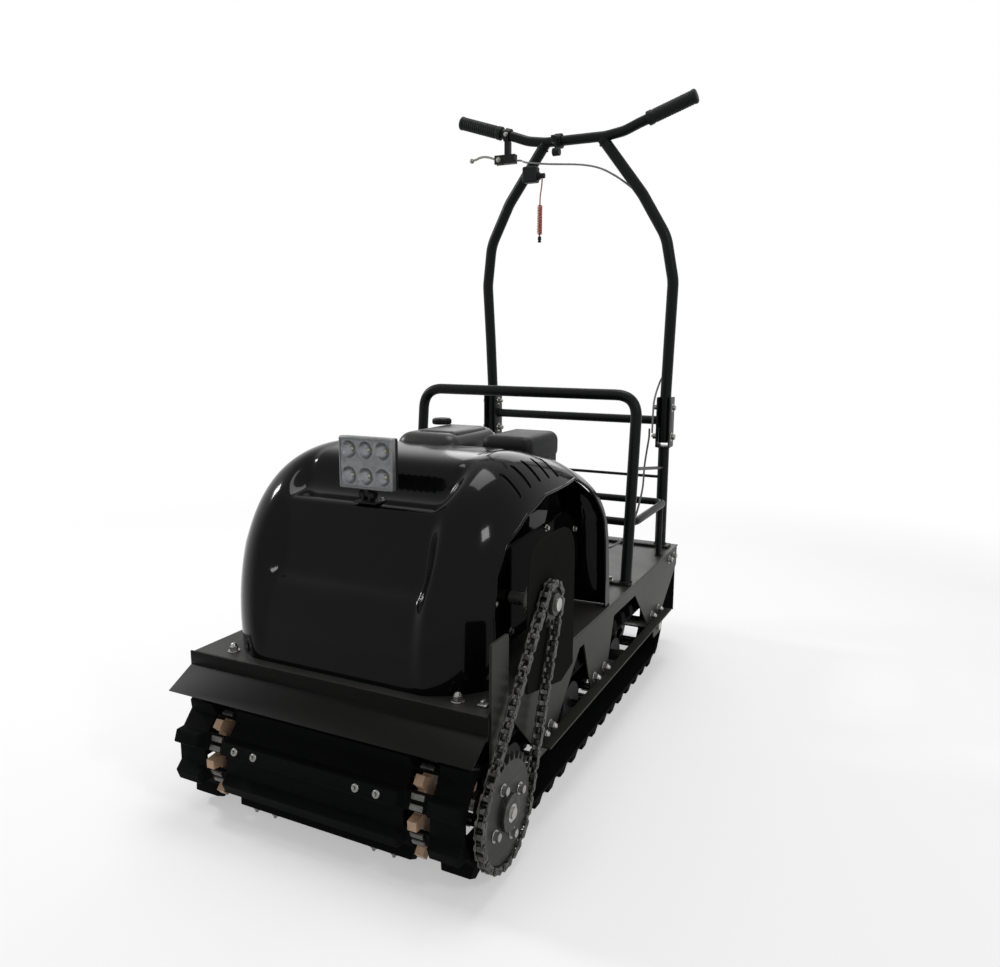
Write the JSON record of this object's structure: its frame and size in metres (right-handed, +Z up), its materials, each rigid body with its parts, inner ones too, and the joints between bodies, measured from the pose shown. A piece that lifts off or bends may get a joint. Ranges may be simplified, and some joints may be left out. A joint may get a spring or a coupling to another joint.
{
  "type": "tracked snow tow vehicle",
  "caption": "Compact tracked snow tow vehicle: rubber belt, chain drive, moulded hood with lamp, cargo rack and a fold-down handlebar column with brake lever and lanyard stop key.",
  "frame": {"origin": "middle of the vehicle's footprint, on the ground under the track", "axes": "+Z up; -Y towards the front with the lamp; +X towards the side with the chain"},
  "size_m": [0.5818, 1.069, 1.2428],
  "materials": {
    "belt_rubber": "matt, moulded",
    "flap_rubber": "matt sheet",
    "grip_rubber": "matt",
    "bare_steel": "oiled steel",
    "zinc_steel": "zinc plated",
    "sprocket_polymer": "cast polyurethane",
    "grey_plate": "satin grey paint",
    "olive_steel": "satin dark olive grey paint",
    "powder_black": "satin powder coat",
    "gloss_black": "gloss moulding",
    "matt_black": "matt",
    "alloy": "cast, dull",
    "lamp_silver": "die cast, satin",
    "lanyard_red": "gloss red",
    "cable_sheath": "smooth sheath"
  },
  "bodies": {
    "chassis": {"deck_plate": "olive_steel", "front_bumper": "powder_black", "side_frame_left": "olive_steel", "side_frame_right": "olive_steel", "lower_rail_left": "grey_plate", "lower_rail_right": "grey_plate", "upright_left": "grey_plate", "upright_right": "grey_plate", "drive_bearing_left": "alloy", "drive_bearing_right": "alloy", "slide_frame": "powder_black", "track_belt": "belt_rubber", "drive_chain": "bare_steel", "jackshaft_plate": "grey_plate", "jackshaft_bearing": "zinc_steel", "drive_cover": "gloss_black", "engine_block": "alloy", "fuel_tank": "matt_black", "air_filter_cover": "matt_black", "recoil_housing": "matt_black", "muffler": "matt_black", "hood": "gloss_black", "lamp_bracket": "powder_black", "rack_hoop": "powder_black", "rack_rim": "powder_black", "rear_frame": "powder_black", "snow_flap": "flap_rubber", "hitch_bracket": "olive_steel", "brake_cable_lower": "cable_sheath"},
    "drive": {"drive_axle": "bare_steel", "drive_sprocket_left": "sprocket_polymer", "drive_sprocket_right": "sprocket_polymer", "chain_wheel": "zinc_steel"},
    "jack": {"jackshaft": "bare_steel", "chain_pinion": "zinc_steel"},
    "idler": {"idler_axle": "bare_steel", "idler_wheel_left": "matt_black", "idler_wheel_right": "matt_black"},
    "bogie_front": {"bogie_axle_1": "matt_black"},
    "bogie_middle": {"bogie_axle_2": "matt_black"},
    "bogie_rear": {"bogie_axle_3": "matt_black"},
    "column": {"handlebar_frame": "powder_black", "grip_left": "grip_rubber", "grip_right": "grip_rubber", "brake_bracket": "matt_black", "brake_cable_upper": "cable_sheath", "kill_switch": "matt_black", "throttle_clamp": "matt_black"},
    "brake": {"brake_lever": "zinc_steel"},
    "throttle": {"throttle_lever": "matt_black"},
    "stop_key": {"kill_key": "lanyard_red", "lanyard_lead": "lanyard_red", "lanyard_coil": "lanyard_red", "lanyard_hook": "matt_black"},
    "lamp": {"lamp_head": "lamp_silver"},
    "cap": {"tank_cap": "matt_black"},
    "starter": {"starter_handle": "matt_black"},
    "drop_pin": {"hitch_pin": "zinc_steel"}
  },
  "joints": [
    {"name": "drive_spin", "type": "hinge", "parent": "chassis", "child": "drive", "pos_m": [0, -0.44361, 0.09448], "axis": [1, 0, 0], "continuous": true, "deforming": ["track_belt", "drive_chain"]},
    {"name": "jack_spin", "type": "hinge", "parent": "chassis", "child": "jack", "pos_m": [0, -0.29202, 0.34185], "axis": [1, 0, 0], "continuous": true},
    {"name": "idler_spin", "type": "hinge", "parent": "chassis", "child": "idler", "pos_m": [0, 0.36239, 0.09448], "axis": [1, 0, 0], "continuous": true},
    {"name": "bogie_front_spin", "type": "hinge", "parent": "chassis", "child": "bogie_front", "pos_m": [0, -0.29, 0.0628], "axis": [1, 0, 0], "continuous": true},
    {"name": "bogie_middle_spin", "type": "hinge", "parent": "chassis", "child": "bogie_middle", "pos_m": [0, -0.03, 0.0628], "axis": [1, 0, 0], "continuous": true},
    {"name": "bogie_rear_spin", "type": "hinge", "parent": "chassis", "child": "bogie_rear", "pos_m": [0, 0.22, 0.0628], "axis": [1, 0, 0], "continuous": true},
    {"name": "column_fold", "type": "hinge", "parent": "chassis", "child": "column", "pos_m": [0, 0.5, 0.501], "axis": [1, 0, 0], "range_deg": [0, 64]},
    {"name": "brake_squeeze", "type": "hinge", "parent": "column", "child": "brake", "pos_m": [-0.1875, 0.464, 1.136], "axis": [0, 1, 0], "range_deg": [0, 22], "stiffness_Nm_per_rad": 0.8, "springref_deg": -8.59},
    {"name": "throttle_turn", "type": "hinge", "parent": "column", "child": "throttle", "pos_m": [-0.0372, 0.446, 1.166], "axis": [-1, 0, 0], "range_deg": [0, 60]},
    {"name": "key_pull", "type": "slide", "parent": "column", "child": "stop_key", "axis": [1, 0, 0], "range_m": [0, 0.03]},
    {"name": "lamp_tilt", "type": "hinge", "parent": "chassis", "child": "lamp", "pos_m": [0.014, -0.38, 0.4965], "axis": [1, 0, 0], "range_deg": [-40, 20]},
    {"name": "cap_turn", "type": "hinge", "parent": "chassis", "child": "cap", "pos_m": [-0.075, -0.01, 0.57], "axis": [0, 0, 1], "range_deg": [0, 90]},
    {"name": "starter_pull", "type": "slide", "parent": "chassis", "child": "starter", "axis": [-1, 0, 0], "range_m": [0, 0.25], "stiffness_N_per_m": 15, "springref_m": -0.05},
    {"name": "pin_drop", "type": "slide", "parent": "chassis", "child": "drop_pin", "axis": [0, 0, -1], "range_m": [0, 0.05]}
  ],
  "couplings": [
    {"joint": "jack_spin", "follows": "drive_spin", "ratio": 2.5},
    {"joint": "idler_spin", "follows": "drive_spin", "ratio": 1},
    {"joint": "bogie_front_spin", "follows": "drive_spin", "ratio": 1.7526},
    {"joint": "bogie_middle_spin", "follows": "drive_spin", "ratio": 1.7526},
    {"joint": "bogie_rear_spin", "follows": "drive_spin", "ratio": 1.7526}
  ]
}
